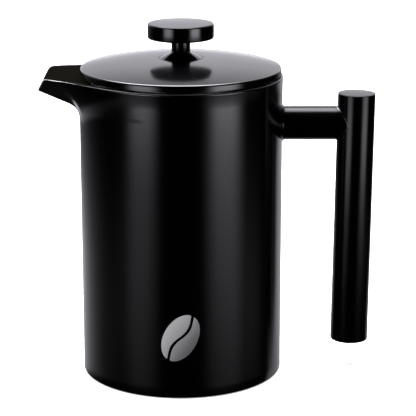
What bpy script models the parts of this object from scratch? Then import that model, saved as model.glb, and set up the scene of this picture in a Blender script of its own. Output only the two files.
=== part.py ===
"""French press with a double-wall steel carafe, V-shaped pouring beak, straight
tube handle, drop-in lid and a plunger with a stacked filter.

Frame: metres, +Z up.  The origin lies on the vessel's axis, in the plane that the
base stands on.  The handle points to +X and the beak to -X.  All parts are drawn
with the plunger pressed down and the lid on.
"""
import math

import bmesh
import bpy
from mathutils import Matrix, Vector

for old in list(bpy.data.objects):
    bpy.data.objects.remove(old, do_unlink=True)

MM = 0.001
GAP = 0.35                 # clearance between pieces that touch, mm

# ---------------------------------------------------------------- driving sizes, mm
SHELL_R = 52.5             # outer shell, outside radius
SHELL_T = 1.0              # outer shell wall
RIM_Z = 158.1              # top of the rim above the table
RIM_FLARE = 0.45           # how far the rim flares out
FLARE_H = 8.0              # over this height
VESSEL_R = 47.0            # inner vessel, inside radius
VESSEL_T = 0.8
VESSEL_FLOOR = 6.0         # underside of the inner vessel

LIP_X, LIP_Y, LIP_Z = -69.2, 17.9, 159.1     # upper corners of the beak's lip
TIP_X, TIP_Z = -74.3, 149.5                  # lowest, foremost point of the lip
KEEL_X, KEEL_Z = -62.07, 144.3               # a point on the keel under the beak
ROOT_X, ROOT_Y = -44.9, 27.0                 # where the beak's top edge meets the rim
BEAK_BLEND = 11.0          # size of the soft corner between shell and beak
NOTCH_DEG = 38.0           # half angle of the notch that the beak closes
NOTCH_Z = 134.6            # lowest point of that notch

LID_R = 51.8
LID_Z0 = 158.7             # underside of the lid's flange
LID_EDGE_Z = 162.3
LID_TOP_Z = 166.8
LID_T = 1.0
SKIRT_R = 44.7
SKIRT_Z = 147.0

HUB_R0, HUB_R1 = 11.4, 5.1
HUB_Z0, HUB_Z1 = 166.6, 169.8
ROD_R = 2.5
STEM_R = 4.9
KNOB_R = 17.06
KNOB_Z0, KNOB_Z1 = 177.5, 185.0
PLUNGER_TRAVEL = 130.0
LID_TRAVEL = 160.0

ARM_R = 8.75
ARM_Z = 132.7
GRIP_R = 9.72
GRIP_TOP = (90.8, 148.4)   # x, z of the grip's axis at its top face
GRIP_BOT = (89.3, 14.8)

SEG = 48                   # facets round the big round pieces
SEG_S = 32                 # facets round the handle
SEG_XS = 24                # facets round the small pieces


# ---------------------------------------------------------------- materials
def material(name, colour, rough, metal):
    mat = bpy.data.materials.new(name)
    mat.use_nodes = True
    bsdf = mat.node_tree.nodes["Principled BSDF"]
    bsdf.inputs["Base Color"].default_value = (*colour, 1.0)
    bsdf.inputs["Roughness"].default_value = rough
    bsdf.inputs["Metallic"].default_value = metal
    return mat


BLACK = material("black_coating", (0.012, 0.012, 0.014), 0.32, 0.0)
BLACK_LID = material("black_lid_coating", (0.014, 0.014, 0.016), 0.28, 0.0)
BLACK_GRIP = material("black_handle_coating", (0.012, 0.012, 0.014), 0.34, 0.0)
BLACK_KNOB = material("black_knob_coating", (0.013, 0.013, 0.015), 0.30, 0.0)
STEEL = material("brushed_steel", (0.62, 0.62, 0.62), 0.30, 1.0)
STEEL_BRIGHT = material("bright_steel", (0.72, 0.72, 0.72), 0.15, 1.0)
SILICONE = material("black_silicone", (0.02, 0.02, 0.02), 0.6, 0.0)
PLASTIC = material("black_nylon", (0.03, 0.03, 0.03), 0.5, 0.0)

# ---------------------------------------------------------------- body empties
carafe = bpy.data.objects.new("carafe_body", None)
lid_ring_axis = bpy.data.objects.new("lid_seal_body", None)
lid_axis = bpy.data.objects.new("lid_body", None)
plunger_axis = bpy.data.objects.new("plunger_body", None)
for holder in (carafe, lid_ring_axis, lid_axis, plunger_axis):
    bpy.context.scene.collection.objects.link(holder)
lid_ring_axis.parent = carafe
lid_axis.parent = lid_ring_axis
plunger_axis.parent = lid_axis


# ---------------------------------------------------------------- helpers
def add(name, bm, mat, parent, sharp=35.0):
    """Close a bmesh given in millimetres into an object in metres."""
    bmesh.ops.recalc_face_normals(bm, faces=bm.faces[:])
    bmesh.ops.scale(bm, vec=(MM, MM, MM), verts=bm.verts[:])
    mesh = bpy.data.meshes.new(name)
    bm.to_mesh(mesh)
    bm.free()
    mesh.shade_smooth()
    mesh.set_sharp_from_angle(angle=math.radians(sharp))
    mesh.materials.append(mat)
    obj = bpy.data.objects.new(name, mesh)
    bpy.context.scene.collection.objects.link(obj)
    obj.parent = parent
    return obj


def turned(profile, seg=SEG, closed=True):
    """Spin a profile of (radius, height) about Z.  A closed profile makes a ring;
    an open one starts and ends on the axis and makes a solid of revolution."""
    bm = bmesh.new()
    verts = [bm.verts.new((r, 0.0, z)) for r, z in profile]
    edges = [bm.edges.new((a, b)) for a, b in zip(verts, verts[1:])]
    if closed:
        edges.append(bm.edges.new((verts[-1], verts[0])))
    bmesh.ops.spin(bm, geom=verts + edges, cent=(0, 0, 0), axis=(0, 0, 1),
                   angle=2 * math.pi, steps=seg, use_merge=True, use_duplicate=False)
    bmesh.ops.remove_doubles(bm, verts=bm.verts[:], dist=1e-4)
    return bm


def cutter(name, radius, depth, matrix, seg=SEG):
    """A plain cylinder that only cuts other pieces."""
    bm = bmesh.new()
    bmesh.ops.create_cone(bm, cap_ends=True, segments=seg, radius1=radius * MM,
                          radius2=radius * MM, depth=depth * MM)
    mesh = bpy.data.meshes.new(name)
    bm.to_mesh(mesh)
    bm.free()
    obj = bpy.data.objects.new(name, mesh)
    bpy.context.scene.collection.objects.link(obj)
    obj.matrix_world = matrix
    obj.hide_render = True
    obj.display_type = "WIRE"
    return obj


def cut(obj, tool):
    mod = obj.modifiers.new("cut_" + tool.name, "BOOLEAN")
    mod.operation = "DIFFERENCE"
    mod.solver = "EXACT"
    mod.object = tool


# ---------------------------------------------------------------- shell and beak surface
def _beak_plane():
    """Outward normal and offset of the beak's +Y side wall, through the lip corner,
    the tip and the keel."""
    b = Vector((LIP_X, LIP_Y, LIP_Z))
    t = Vector((TIP_X, 0.0, TIP_Z))
    k = Vector((KEEL_X, 0.0, KEEL_Z))
    n = (t - b).cross(k - b).normalized()
    if n.z > 0:
        n = -n
    return n, n.dot(b)


BEAK_N, BEAK_C = _beak_plane()
ROOT_LIFT = -(BEAK_N.dot(Vector((ROOT_X, ROOT_Y, RIM_Z))) - BEAK_C)


def shell_radius(z):
    """Outside radius of the plain shell: small bottom radius, slight flare at the rim."""
    r = SHELL_R
    if z > RIM_Z - FLARE_H:
        r += RIM_FLARE * ((z - (RIM_Z - FLARE_H)) / FLARE_H) ** 2
    return r


def beak_side(x, y, z):
    """Signed distance, positive outside, to the beak's slightly bowed side walls."""
    ay = math.sqrt(y * y + 1.0) - 1.0 + 0.5 * math.exp(-y * y)
    u = max(0.0, (x - LIP_X) / (ROOT_X - LIP_X))
    v = max(0.0, (z - KEEL_Z) / (RIM_Z - KEEL_Z))
    return (BEAK_N.x * x + BEAK_N.y * ay + BEAK_N.z * z - BEAK_C
            + ROOT_LIFT * u * u * v)


def soft_min(a, b, k):
    h = max(k - abs(a - b), 0.0) / k
    return min(a, b) - h * h * k * 0.25


def skin(x, y, z, inset=0.0, base_r=None):
    """Signed distance to shell and beak, blended softly where they meet."""
    r = math.hypot(x, y)
    body = r - (shell_radius(z) if base_r is None else base_r)
    if x > -20.0:
        return body
    return soft_min(body, beak_side(x, y, z) + inset, BEAK_BLEND)


def skin_radius(theta, z, inset=0.0, base_r=None):
    """Radius at which the ray at angle theta from -X leaves the skin."""
    cx, sy = -math.cos(theta), math.sin(theta)
    lo, hi = 40.0, 95.0
    for _ in range(42):
        mid = 0.5 * (lo + hi)
        if skin(cx * mid, sy * mid, z, inset, base_r) < 0.0:
            lo = mid
        else:
            hi = mid
    return 0.5 * (lo + hi)


LIP_T = math.atan2(LIP_Y, -LIP_X)
ROOT_T = math.atan2(ROOT_Y, -ROOT_X)
NOTCH_T = math.radians(NOTCH_DEG)


def lip_height(theta):
    """Height of the vessel's top edge: V-shaped lip, beak edge, level rim."""
    a = abs(theta)
    if a <= LIP_T:
        t = math.tan(a)                       # point on the line tip - corner
        s = (-TIP_X * t) / (LIP_Y + (LIP_X - TIP_X) * t)
        return TIP_Z + (LIP_Z - TIP_Z) * min(1.0, s)
    if a <= ROOT_T:
        f = (a - LIP_T) / (ROOT_T - LIP_T)
        return LIP_Z + (RIM_Z - LIP_Z) * f
    return RIM_Z


def notch_height(theta):
    """Edge of the V-shaped notch in the shell that the beak closes."""
    return NOTCH_Z + (RIM_Z - NOTCH_Z) * min(1.0, abs(theta) / NOTCH_T)


def wall(columns, outer, thick, closed):
    """A sheet with its outside points in columns and its inside points offset from
    them, closed into one solid."""
    bm = bmesh.new()
    grid_o, grid_i = [], []
    for column in columns:
        grid_o.append([bm.verts.new(outer(*p)) for p in column])
        grid_i.append([bm.verts.new(thick(*p)) for p in column])
    n = len(columns)
    rows = len(columns[0])
    last = n if closed else n - 1
    for i in range(last):
        j = (i + 1) % n
        for k in range(rows - 1):
            bm.faces.new((grid_o[i][k], grid_o[j][k], grid_o[j][k + 1], grid_o[i][k + 1]))
            bm.faces.new((grid_i[i][k], grid_i[i][k + 1], grid_i[j][k + 1], grid_i[j][k]))
        bm.faces.new((grid_o[i][0], grid_i[i][0], grid_i[j][0], grid_o[j][0]))
        bm.faces.new((grid_o[i][-1], grid_o[j][-1], grid_i[j][-1], grid_i[i][-1]))
    if not closed:
        for i, flip in ((0, False), (n - 1, True)):
            for k in range(rows - 1):
                quad = [grid_o[i][k], grid_o[i][k + 1], grid_i[i][k + 1], grid_i[i][k]]
                bm.faces.new(quad[::-1] if flip else quad)
    return bm


def angle_list():
    """Angles from -X: close together round the beak, wider round the back."""
    fine = [math.radians(-40.0 + 4.0 * i) for i in range(21)]
    coarse = [math.radians(40.0 + 280.0 * i / 36) for i in range(1, 36)]
    return fine + coarse


def norm_angle(a):
    return (a + math.pi) % (2 * math.pi) - math.pi


def on_skin(inset=0.0, base_r=None):
    def place(theta, z):
        t = norm_angle(theta)
        r = skin_radius(t, z, inset, base_r)
        return Vector((-math.cos(t) * r, math.sin(t) * r, z))
    return place


def under_skin(depth, inset=0.0, base_r=None):
    """The skin's point moved inwards along its normal, held under the top edge."""
    place = on_skin(inset, base_r)

    def moved(theta, z):
        p = place(theta, z)
        e = 0.05
        g = Vector((skin(p.x + e, p.y, p.z, inset, base_r) - skin(p.x - e, p.y, p.z, inset, base_r),
                    skin(p.x, p.y + e, p.z, inset, base_r) - skin(p.x, p.y - e, p.z, inset, base_r),
                    skin(p.x, p.y, p.z + e, inset, base_r) - skin(p.x, p.y, p.z - e, inset, base_r)))
        g.normalize()
        if z > RIM_Z - FLARE_H - 1.0 and abs(norm_angle(theta)) > NOTCH_T:
            g = Vector((p.x, p.y, 0.0)).normalized()
        return p - g * depth
    return moved


# outer shell: plain tube with the notch for the beak
columns = []
for a in angle_list():
    t = norm_angle(a)
    top = min(RIM_Z - 0.95, notch_height(t) - GAP)
    low = [0.35, 1.1, 60.0, 118.0]
    rise = [118.0 + (top - 118.0) * f for f in (0.5, 0.78, 1.0)]
    columns.append([(a, z) for z in low + rise])


def shell_out(theta, z):
    p = on_skin()(theta, z)
    if z < 1.0:
        r = math.hypot(p.x, p.y)
        p = Vector((p.x * (r - 0.45) / r, p.y * (r - 0.45) / r, z))
    return p


def shell_in(theta, z):
    p = on_skin()(theta, z)
    r = math.hypot(p.x, p.y)
    return Vector((p.x * (r - SHELL_T) / r, p.y * (r - SHELL_T) / r, z))


outer_shell = add("outer_shell", wall(columns, shell_out, shell_in, True), BLACK, carafe)

# beak: folded sheet that stands out of the notch
columns = []
beak_angles = sorted(set([math.radians(v) for v in
                          (-34, -30, -26, -22, -18, -11, -7, -3, 0, 3, 7, 11, 18, 22, 26, 30, 34)]
                         + [LIP_T, -LIP_T]))
for t in beak_angles:
    bottom = notch_height(t) + 0.25
    top = lip_height(t)
    columns.append([(t, bottom + (top - bottom) * k / 7.0) for k in range(8)])
spout = add("spout", wall(columns, on_skin(), under_skin(0.7), False), BLACK, carafe, 50.0)

# inner vessel: bare steel cup whose own beak lies inside the outer one
IN_R = VESSEL_R + VESSEL_T
BEAK_INSET = 1.15
columns = []
inner_angles = sorted(set(round(norm_angle(a), 9) for a in angle_list())
                      | {round(LIP_T, 9), round(-LIP_T, 9)})
for t in inner_angles:
    if abs(t) < ROOT_T:
        top = lip_height(t)
    elif abs(t) < NOTCH_T:
        top = lip_height(t) - 0.3
    else:
        top = RIM_Z - 1.25
    low = [VESSEL_FLOOR, 70.0, 130.0]
    rise = [130.0 + (top - 130.0) * f for f in (0.25, 0.42, 0.56, 0.68, 0.79, 0.9, 1.0)]
    columns.append([(t, z) for z in low + rise])


def cup_wall(columns, outer, inner):
    """The vessel's wall with its floor, both sides closed by flat discs."""
    bm = bmesh.new()
    go = [[bm.verts.new(outer(*p)) for p in c] for c in columns]
    gi = []
    for c in columns:
        line = []
        for k, p in enumerate(c):
            q = inner(*p)
            if k == 0:
                q = Vector((q.x, q.y, VESSEL_FLOOR + VESSEL_T))
            line.append(bm.verts.new(q))
        gi.append(line)
    n, rows = len(columns), len(columns[0])
    for i in range(n):
        j = (i + 1) % n
        for k in range(rows - 1):
            bm.faces.new((go[i][k], go[j][k], go[j][k + 1], go[i][k + 1]))
            bm.faces.new((gi[i][k], gi[i][k + 1], gi[j][k + 1], gi[j][k]))
        bm.faces.new((go[i][-1], go[j][-1], gi[j][-1], gi[i][-1]))
    bm.faces.new([c[0] for c in go][::-1])
    bm.faces.new([c[0] for c in gi])
    return bm


inner_vessel = add("inner_vessel",
                   cup_wall(columns, on_skin(BEAK_INSET, IN_R),
                            under_skin(VESSEL_T, BEAK_INSET, IN_R)), STEEL, carafe, 50.0)

# rim ring: closes the two walls at the top, open at the beak
bm = bmesh.new()
start = math.radians(180.0 - NOTCH_DEG - 3.0)
ring_profile = [(VESSEL_R + 0.1, RIM_Z - 0.6), (VESSEL_R + 0.3, RIM_Z - 0.15),
                (VESSEL_R + 1.0, RIM_Z), (SHELL_R + 0.2, RIM_Z),
                (SHELL_R + 0.45, RIM_Z - 0.2), (SHELL_R + 0.45, RIM_Z - 0.6)]
verts = [bm.verts.new((r * math.cos(start), r * math.sin(start), z)) for r, z in ring_profile]
face = bm.faces.new(verts)
ret = bmesh.ops.spin(bm, geom=[face], cent=(0, 0, 0), axis=(0, 0, 1),
                     angle=-2 * start, steps=40, use_duplicate=False)
rim_ring = add("rim_ring", bm, STEEL_BRIGHT, carafe)

# base plate: the disc that closes the shell below and stands on the table
base_plate = add("base_plate", turned(
    [(0, 0), (49.9, 0), (50.9, 0.5), (51.1, 1.0), (51.1, 2.2), (49.5, 2.2), (48.5, 1.2), (0, 1.2)],
    closed=False), STEEL, carafe)

# ---------------------------------------------------------------- handle
lean = math.atan2(GRIP_TOP[0] - GRIP_BOT[0], GRIP_TOP[1] - GRIP_BOT[1])
grip_mid = Vector(((GRIP_TOP[0] + GRIP_BOT[0]) / 2, 0, (GRIP_TOP[1] + GRIP_BOT[1]) / 2)) * MM
grip_half = 0.5 * math.hypot(GRIP_TOP[0] - GRIP_BOT[0], GRIP_TOP[1] - GRIP_BOT[1])
grip_matrix = Matrix.Translation(grip_mid) @ Matrix.Rotation(lean, 4, "Y")

grip_frame = bpy.data.objects.new("grip_frame", None)
bpy.context.scene.collection.objects.link(grip_frame)
grip_frame.matrix_world = grip_matrix
grip_frame.parent = carafe

GRIP_BORE = 8.2
CAP_T = 1.3
handle_grip = add("handle_grip", turned(
    [(GRIP_BORE, -grip_half + CAP_T + GAP), (GRIP_R, -grip_half + CAP_T + GAP),
     (GRIP_R, grip_half - CAP_T - GAP), (GRIP_BORE, grip_half - CAP_T - GAP)], SEG_S),
    BLACK_GRIP, grip_frame)
grip_top_cap = add("grip_top_cap", turned(
    [(0, grip_half), (GRIP_R - 0.45, grip_half), (GRIP_R, grip_half - 0.45),
     (GRIP_R, grip_half - CAP_T), (GRIP_BORE - GAP, grip_half - CAP_T),
     (GRIP_BORE - GAP, grip_half - 6.0), (0, grip_half - 6.0)], SEG_S, closed=False),
    BLACK_GRIP, grip_frame)
grip_bottom_cap = add("grip_bottom_cap", turned(
    [(0, -grip_half + 6.0), (GRIP_BORE - GAP, -grip_half + 6.0),
     (GRIP_BORE - GAP, -grip_half + CAP_T), (GRIP_R, -grip_half + CAP_T),
     (GRIP_R, -grip_half + 0.7), (GRIP_R - 0.7, -grip_half), (0, -grip_half)],
    SEG_S, closed=False), BLACK_GRIP, grip_frame)

# handle arm: level tube between the shell and the grip, scribed to both
along_x = Matrix.Translation(Vector((0, 0, ARM_Z)) * MM) @ Matrix.Rotation(math.pi / 2, 4, "Y")
arm_frame = bpy.data.objects.new("arm_frame", None)
bpy.context.scene.collection.objects.link(arm_frame)
arm_frame.matrix_world = along_x
arm_frame.parent = carafe
ARM_BORE = 7.25
handle_arm = add("handle_arm", turned(
    [(ARM_BORE, 50.0), (ARM_R, 50.0), (ARM_R, 90.0), (ARM_BORE, 90.0)], SEG_S),
    BLACK_GRIP, arm_frame)
arm_collar = add("arm_collar", turned(
    [(ARM_R + GAP, 49.0), (ARM_R + 1.5, 49.0), (ARM_R + 1.5, 53.6), (ARM_R + 1.0, 54.4),
     (ARM_R + GAP, 54.4)], SEG_S), BLACK_GRIP, arm_frame)

shell_tool = cutter("shell_tool", SHELL_R + 0.4, 120.0,
                    Matrix.Translation(Vector((0, 0, 120)) * MM), 96)
grip_tool = cutter("grip_tool", GRIP_R + 0.4, 120.0,
                   grip_matrix @ Matrix.Translation(Vector((0, 0, grip_half - 40)) * MM), 64)
cut(handle_arm, shell_tool)
cut(handle_arm, grip_tool)
cut(arm_collar, shell_tool)

# ---------------------------------------------------------------- lid
def dome(r):
    """Height of the lid's top surface at a radius."""
    return LID_EDGE_Z + 0.1 + (LID_TOP_Z - LID_EDGE_Z - 0.1) * (1.0 - (r / (LID_R - 1.0)) ** 2)


radii = [HUB_R0 + 0.4, 20.0, 29.0, 37.0, 44.0, 49.5]
outside = [(r, dome(r)) for r in radii] + [(50.9, LID_EDGE_Z - 0.05), (51.6, LID_EDGE_Z - 0.45),
                                            (LID_R, LID_EDGE_Z - 1.0), (LID_R, LID_Z0)]
inside = [(LID_R - LID_T, LID_Z0), (LID_R - LID_T, LID_EDGE_Z - 1.1)] + \
         [(r, dome(r) - LID_T) for r in radii[::-1]]
lid_cover = add("lid_cover", turned(outside + inside), BLACK_LID, lid_axis)

LINER_Z = 158.9
SPIGOT_R = 5.4
lid_liner = add("lid_liner", turned(
    [(SPIGOT_R + GAP, LINER_Z), (SKIRT_R - 0.8, LINER_Z), (SKIRT_R - 0.8, SKIRT_Z),
     (SKIRT_R, SKIRT_Z), (SKIRT_R, LINER_Z - 0.1), (LID_R - 1.4, LINER_Z - 0.1),
     (LID_R - 1.4, LINER_Z + 0.8), (SPIGOT_R + GAP, LINER_Z + 0.8)]), STEEL, lid_axis)

BUSH_OUT = 3.6
lid_hub = add("lid_hub", turned(
    [(BUSH_OUT + GAP, 155.0), (SPIGOT_R, 155.0), (SPIGOT_R, 164.0), (HUB_R0, 164.0),
     (HUB_R0, HUB_Z0), (HUB_R0 - 0.9, HUB_Z0 + 0.35), (HUB_R1 + 0.9, HUB_Z1 - 0.5),
     (HUB_R1, HUB_Z1), (BUSH_OUT + GAP, HUB_Z1)], SEG_S), STEEL_BRIGHT, lid_axis)
rod_bush = add("rod_bush", turned(
    [(ROD_R + GAP, 155.2), (BUSH_OUT, 155.2), (BUSH_OUT, HUB_Z1 - 0.2), (ROD_R + GAP, HUB_Z1 - 0.2)],
    SEG_XS), PLASTIC, lid_axis)


def hex_nut(name, flats, z0, z1, bore, mat, parent):
    """A hexagonal nut: hexagon outside, round hole inside, bridged into one ring."""
    bm = bmesh.new()
    corner = flats / math.sqrt(3.0)
    n = 24
    rings = []
    for z in (z0, z1):
        out, inn = [], []
        for i in range(n):
            a = 2 * math.pi * i / n
            side = (a % (math.pi / 3)) - math.pi / 6
            r = (flats / 2) / math.cos(side)
            out.append(bm.verts.new((min(r, corner) * math.cos(a), min(r, corner) * math.sin(a), z)))
            inn.append(bm.verts.new((bore * math.cos(a), bore * math.sin(a), z)))
        rings.append((out, inn))
    (o0, i0), (o1, i1) = rings
    for i in range(n):
        j = (i + 1) % n
        bm.faces.new((o0[i], o0[j], o1[j], o1[i]))
        bm.faces.new((i0[i], i1[i], i1[j], i0[j]))
        bm.faces.new((o1[i], o1[j], i1[j], i1[i]))
        bm.faces.new((o0[i], i0[i], i0[j], o0[j]))
    return add(name, bm, mat, parent, 25.0)


bush_nut = hex_nut("bush_nut", 15.0, 155.3, 158.5, SPIGOT_R + GAP, STEEL, lid_axis)

# seal: soft sleeve between the lid's skirt and the vessel wall
SEAL_IN, SEAL_OUT = 45.15, 46.5
lid_seal = add("lid_seal", turned(
    [(SEAL_IN, 149.5), (SEAL_OUT - 0.4, 149.5), (SEAL_OUT, 150.6), (SEAL_OUT - 0.5, 151.7),
     (SEAL_OUT - 0.5, 153.2), (SEAL_OUT, 154.3), (SEAL_OUT - 0.4, 155.4), (SEAL_IN, 155.4)]),
    SILICONE, lid_ring_axis)

# ---------------------------------------------------------------- plunger
HOLE = ROD_R + GAP
plunger_rod = add("plunger_rod", turned(
    [(0, 8.0), (ROD_R - 0.4, 8.0), (ROD_R, 8.4), (ROD_R, 180.0), (ROD_R - 0.4, 180.4), (0, 180.4)],
    SEG_XS, closed=False), STEEL_BRIGHT, plunger_axis)
knob_stem = add("knob_stem", turned(
    [(HOLE, HUB_Z1 + 0.3), (STEM_R - 0.2, HUB_Z1 + 0.3), (STEM_R, HUB_Z1 + 0.5),
     (STEM_R, KNOB_Z0 - 0.05), (HOLE, KNOB_Z0 - 0.05)], SEG_XS), STEEL_BRIGHT, plunger_axis)
knob = add("knob", turned(
    [(0, KNOB_Z1), (KNOB_R - 0.9, KNOB_Z1), (KNOB_R - 0.25, KNOB_Z1 - 0.25),
     (KNOB_R, KNOB_Z1 - 0.9), (KNOB_R, KNOB_Z0 + 1.0), (KNOB_R - 0.3, KNOB_Z0 + 0.5),
     (KNOB_R - 0.9, KNOB_Z0 + 0.28), (HOLE, KNOB_Z0 + 0.28), (HOLE, 181.0), (0, 181.0)],
    closed=False), BLACK_KNOB, plunger_axis)

# filter stack, from below: cross plate, screen, spiral plate with its spring, nut
mesh_screen = add("mesh_screen", turned(
    [(HOLE, 9.7), (44.6, 9.7), (45.7, 10.3), (46.1, 11.2), (46.1, 14.4), (45.7, 14.4),
     (45.7, 11.4), (45.3, 10.7), (44.4, 10.1), (HOLE, 10.1)]), STEEL, plunger_axis)
spiral_plate = add("spiral_plate", turned(
    [(HOLE, 10.6), (42.4, 10.6), (43.1, 11.1), (43.1, 14.0), (42.5, 14.0), (42.5, 11.9),
     (41.7, 11.4), (30.0, 11.6), (18.0, 12.2), (12.0, 12.2), (HOLE, 11.9)]), STEEL, plunger_axis)

bm = bmesh.new()
coil_r, wire_r, sides = 44.4, 0.85, 8
rings = []
for i in range(SEG):
    a = 2 * math.pi * i / SEG
    rings.append([bm.verts.new(((coil_r + wire_r * math.cos(b)) * math.cos(a),
                                (coil_r + wire_r * math.cos(b)) * math.sin(a),
                                12.6 + wire_r * math.sin(b)))
                  for b in [2 * math.pi * k / sides for k in range(sides)]])
for i in range(SEG):
    for k in range(sides):
        bm.faces.new((rings[i][k], rings[(i + 1) % SEG][k],
                      rings[(i + 1) % SEG][(k + 1) % sides], rings[i][(k + 1) % sides]))
filter_spring = add("filter_spring", bm, STEEL_BRIGHT, plunger_axis, 60.0)

# cross plate: outer ring, four spokes and a hub, cut from one sheet
cross_plate = add("cross_plate", turned(
    [(HOLE, 8.3), (43.6, 8.3), (44.2, 8.6), (44.2, 9.3), (HOLE, 9.3)]), STEEL, plunger_axis)
WINDOW_IN, WINDOW_OUT, SPOKE = 9.5, 39.5, 5.0
bm = bmesh.new()
for quarter in range(4):
    base = quarter * math.pi / 2
    ring0, ring1 = [], []
    for z, ring in ((7.0, ring0), (10.5, ring1)):
        for i in range(9):
            lo = math.asin(SPOKE / WINDOW_OUT)
            a = base + lo + (math.pi / 2 - 2 * lo) * i / 8
            ring.append(bm.verts.new((WINDOW_OUT * math.cos(a), WINDOW_OUT * math.sin(a), z)))
        for i in range(5):
            lo = math.asin(SPOKE / WINDOW_IN)
            a = base + math.pi / 2 - lo - (math.pi / 2 - 2 * lo) * i / 4
            ring.append(bm.verts.new((WINDOW_IN * math.cos(a), WINDOW_IN * math.sin(a), z)))
    bm.faces.new(ring0[::-1])
    bm.faces.new(ring1)
    m = len(ring0)
    for i in range(m):
        j = (i + 1) % m
        bm.faces.new((ring0[i], ring0[j], ring1[j], ring1[i]))
windows = add("window_tool", bm, STEEL, plunger_axis)
windows.hide_render = True
windows.display_type = "WIRE"
cut(cross_plate, windows)

filter_nut = hex_nut("filter_nut", 9.0, 12.6, 15.8, HOLE, STEEL, plunger_axis)
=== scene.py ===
import math

import bmesh
import bpy
import numpy as np
from mathutils import Matrix, Vector


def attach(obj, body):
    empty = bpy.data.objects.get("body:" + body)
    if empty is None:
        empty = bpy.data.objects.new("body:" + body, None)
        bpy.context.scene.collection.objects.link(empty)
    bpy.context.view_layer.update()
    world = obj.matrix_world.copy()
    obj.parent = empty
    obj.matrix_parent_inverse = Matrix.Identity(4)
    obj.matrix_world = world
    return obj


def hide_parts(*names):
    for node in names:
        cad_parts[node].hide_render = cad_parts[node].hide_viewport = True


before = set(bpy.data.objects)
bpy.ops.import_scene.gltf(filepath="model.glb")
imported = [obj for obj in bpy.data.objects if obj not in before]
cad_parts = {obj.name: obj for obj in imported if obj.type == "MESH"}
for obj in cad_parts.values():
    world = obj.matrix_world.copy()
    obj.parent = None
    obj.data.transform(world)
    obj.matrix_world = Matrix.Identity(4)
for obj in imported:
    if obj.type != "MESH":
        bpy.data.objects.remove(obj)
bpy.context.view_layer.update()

MM = 0.001
TAU = 2.0 * math.pi

# ------------------------------------------------------------------ camera and view
scene = bpy.context.scene
cam_data = bpy.data.cameras.new("camera")
cam = bpy.data.objects.new("camera", cam_data)
scene.collection.objects.link(cam)
cam.location = (0.01391, -0.90086, 0.33170)
cam.rotation_euler = (math.radians(90.0 - 15.21), 0.0, 0.0)
cam_data.sensor_width = 36.0
cam_data.sensor_fit = "HORIZONTAL"
cam_data.lens = 36.0 * 1775.98 / 416.0
cam_data.clip_start = 0.05
cam_data.clip_end = 50.0
scene.camera = cam
scene.view_settings.view_transform = "Standard"
scene.view_settings.look = "None"

# ------------------------------------------------------------------ sizes, mm (as in the CAD)
SHELL_R = 52.5
RIM_Z = 158.1
RIM_FLARE = 0.28
FLARE_H = 8.0
VESSEL_R = 47.0
FLOOR_Z = 6.8
LIP = Vector((-69.2, 17.9, 159.1))
TIP = Vector((-74.3, 0.0, 149.5))
KEEL = Vector((-62.07, 0.0, 144.3))
ROOT = Vector((-44.9, 27.0, RIM_Z))
BEAK_BLEND = 5.5
LID_R = 51.8
LID_Z0 = 158.85
LID_EDGE_Z = 162.3
LID_TOP_Z = 166.8
HUB_R0, HUB_R1 = 11.4, 5.1
HUB_Z0, HUB_Z1 = 166.6, 169.8
STEM_R = 4.9
KNOB_R = 17.06
KNOB_Z0, KNOB_Z1 = 176.9, 185.0
ARM_R = 8.75
ARM_Z = 132.7
GRIP_R = 9.72
GRIP_TOP = (90.8, 148.4)
GRIP_BOT = (89.3, 14.8)


# ------------------------------------------------------------------ node helpers
class Tree:
    """Small helper to write a node tree in few lines."""

    def __init__(self, tree):
        self.t = tree

    def node(self, kind, **props):
        n = self.t.nodes.new(kind)
        for k, v in props.items():
            setattr(n, k, v)
        return n

    def link(self, a, b):
        self.t.links.new(a, b)

    def put(self, sock, value):
        if isinstance(value, bpy.types.NodeSocket):
            self.link(value, sock)
        else:
            sock.default_value = value

    def math(self, op, a, b=0.0, c=None, clamp=False):
        n = self.node("ShaderNodeMath", operation=op, use_clamp=clamp)
        self.put(n.inputs[0], a)
        self.put(n.inputs[1], b)
        if c is not None:
            self.put(n.inputs[2], c)
        return n.outputs[0]

    def smooth(self, value, lo, hi, out_lo=0.0, out_hi=1.0):
        n = self.node("ShaderNodeMapRange", interpolation_type="SMOOTHSTEP")
        self.put(n.inputs["Value"], value)
        n.inputs["From Min"].default_value = lo
        n.inputs["From Max"].default_value = hi
        n.inputs["To Min"].default_value = out_lo
        n.inputs["To Max"].default_value = out_hi
        return n.outputs["Result"]

    def linear(self, value, lo, hi, out_lo=0.0, out_hi=1.0):
        n = self.node("ShaderNodeMapRange", interpolation_type="LINEAR")
        self.put(n.inputs["Value"], value)
        n.inputs["From Min"].default_value = lo
        n.inputs["From Max"].default_value = hi
        n.inputs["To Min"].default_value = out_lo
        n.inputs["To Max"].default_value = out_hi
        return n.outputs["Result"]

    def band(self, value, lo, hi, soft):
        a = self.smooth(value, lo - soft, lo + soft)
        b = self.smooth(value, hi - soft, hi + soft)
        return self.math("SUBTRACT", a, b, clamp=True)

    def noise(self, vector, scale, detail=2.0, rough=0.5):
        n = self.node("ShaderNodeTexNoise")
        self.put(n.inputs["Vector"], vector)
        n.inputs["Scale"].default_value = scale
        n.inputs["Detail"].default_value = detail
        n.inputs["Roughness"].default_value = rough
        return n.outputs["Fac"]

    def stretch(self, vector, scale):
        n = self.node("ShaderNodeMapping")
        self.put(n.inputs["Vector"], vector)
        n.inputs["Scale"].default_value = scale
        return n.outputs["Vector"]


def new_material(name, colour, rough, metal):
    mat = bpy.data.materials.new(name)
    mat.use_nodes = True
    tree = Tree(mat.node_tree)
    bsdf = mat.node_tree.nodes["Principled BSDF"]
    bsdf.inputs["Base Color"].default_value = (*colour, 1.0)
    bsdf.inputs["Roughness"].default_value = rough
    bsdf.inputs["Metallic"].default_value = metal
    return mat, tree, bsdf


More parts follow.
